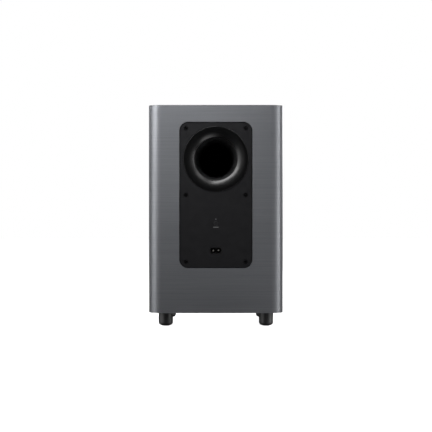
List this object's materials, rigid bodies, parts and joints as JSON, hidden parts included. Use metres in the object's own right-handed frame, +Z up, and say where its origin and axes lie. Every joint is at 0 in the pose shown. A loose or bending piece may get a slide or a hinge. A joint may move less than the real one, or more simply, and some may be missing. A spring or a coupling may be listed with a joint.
{
  "type": "subwoofer",
  "caption": "Upright active subwoofer with rounded vertical edges, a rear plate with a round bass port and a mains inlet, a driver that fires down, and short feet.",
  "frame": {"origin": "centre of the footprint, on the floor", "axes": "+Z up; the rear face with the bass port looks towards -Y, the plain front towards +Y; +X is to the right when the rear face is looked at"},
  "size_m": [0.225, 0.225, 0.37],
  "materials": {
    "brushed_film": "dark anthracite decor film with a fine horizontal brushed grain, satin",
    "fibreboard": "raw medium-density fibreboard, matt",
    "painted_board": "fibreboard painted matt black on its underside",
    "top_film": "dark decor film, satin",
    "wadding": "white polyester wadding",
    "plate_plastic": "black moulded plastic with a fine spark-eroded texture",
    "foam": "black closed-cell foam",
    "black_screw": "black zinc-plated steel screw",
    "zinc_screw": "bright zinc-plated steel screw",
    "gloss_black": "polished black plastic",
    "port_plastic": "black moulded plastic, half matt",
    "clear_pipe": "clear acrylic light pipe",
    "led": "milky light-emitting diode",
    "button_plastic": "black plastic button",
    "inlet_plastic": "black glass-filled plastic",
    "nickel_pin": "nickel-plated brass",
    "board_green": "green solder mask",
    "ferrite": "dark grey ferrite",
    "winding_tape": "amber tape over copper wire",
    "capacitor_sleeve": "dark shrink sleeve",
    "copper": "enamelled copper wire",
    "heat_sink_alloy": "extruded aluminium",
    "chip_epoxy": "black epoxy package",
    "header_nylon": "natural nylon",
    "shield_tin": "tin-plated steel",
    "cover_plastic": "dark grey plastic",
    "lead_sleeve": "soft wire insulation",
    "basket_paint": "black powder-coated steel",
    "surround_rubber": "butyl rubber, satin",
    "cone_paper": "pressed black paper pulp",
    "former_alloy": "thin aluminium foil former",
    "spider_cloth": "resin-treated cotton cloth",
    "motor_steel": "zinc-plated steel",
    "magnet_ferrite": "sintered ferrite",
    "terminal_fibre": "brown vulcanised fibre with tinned tabs",
    "foot_plastic": "black moulded plastic",
    "pad_rubber": "dark grey rubber"
  },
  "bodies": {
    "cabinet": {"amplifier_chip": "chip_epoxy", "board_screws": "zinc_screw", "bottom_panel": "painted_board", "bulk_capacitor": "capacitor_sleeve", "cabinet_wrap": "brushed_film", "damping_wadding": "wadding", "driver_basket": "basket_paint", "driver_gasket": "foam", "driver_screws": "black_screw", "driver_surround": "surround_rubber", "driver_terminals": "terminal_fibre", "electronics_cover": "cover_plastic", "filter_choke": "copper", "foot_front_left": "foot_plastic", "foot_front_right": "foot_plastic", "foot_rear_left": "foot_plastic", "foot_rear_right": "foot_plastic", "foot_screws": "zinc_screw", "front_panel": "fibreboard", "heat_sink": "heat_sink_alloy", "left_panel": "fibreboard", "light_pipe": "clear_pipe", "magnet_ring": "magnet_ferrite", "magnet_top_plate": "motor_steel", "magnet_yoke": "motor_steel", "main_board": "board_green", "mains_inlet_body": "inlet_plastic", "mains_inlet_pins": "nickel_pin", "output_inductor_1": "chip_epoxy", "output_inductor_2": "chip_epoxy", "pad_front_left": "pad_rubber", "pad_front_right": "pad_rubber", "pad_rear_left": "pad_rubber", "pad_rear_right": "pad_rubber", "plate_gasket": "foam", "plate_screws": "black_screw", "port_flare": "gloss_black", "port_inner_flare": "port_plastic", "port_tube": "port_plastic", "rear_panel": "fibreboard", "rear_plate": "plate_plastic", "right_panel": "fibreboard", "speaker_header": "header_nylon", "speaker_lead": "lead_sleeve", "spider": "spider_cloth", "status_light": "led", "surround_trim_ring": "surround_rubber", "switch_body": "chip_epoxy", "top_laminate": "top_film", "top_panel": "fibreboard", "transformer_core": "ferrite", "transformer_winding": "winding_tape", "wireless_board": "board_green", "wireless_shield": "shield_tin"},
    "cone": {"driver_cone": "cone_paper", "dust_cap": "cone_paper", "voice_coil_former": "former_alloy", "voice_coil": "copper"},
    "button": {"connect_button": "button_plastic"},
    "plunger": {"switch_plunger": "chip_epoxy"}
  },
  "joints": [
    {"name": "cone_stroke", "type": "slide", "parent": "cabinet", "child": "cone", "axis": [0, 0, 1], "range_m": [-0.006, 0.006], "stiffness_N_per_m": 1500, "deforming": ["driver_surround", "spider"]},
    {"name": "connect_button_press", "type": "slide", "parent": "cabinet", "child": "button", "axis": [0, 1, 0], "range_m": [0, 0.0004], "stiffness_N_per_m": 1500, "springref_m": -0.0004},
    {"name": "switch_plunger_press", "type": "slide", "parent": "cabinet", "child": "plunger", "axis": [0, 1, 0], "range_m": [0, 0.0004]}
  ],
  "couplings": [
    {"joint": "switch_plunger_press", "follows": "connect_button_press", "ratio": 1}
  ]
}
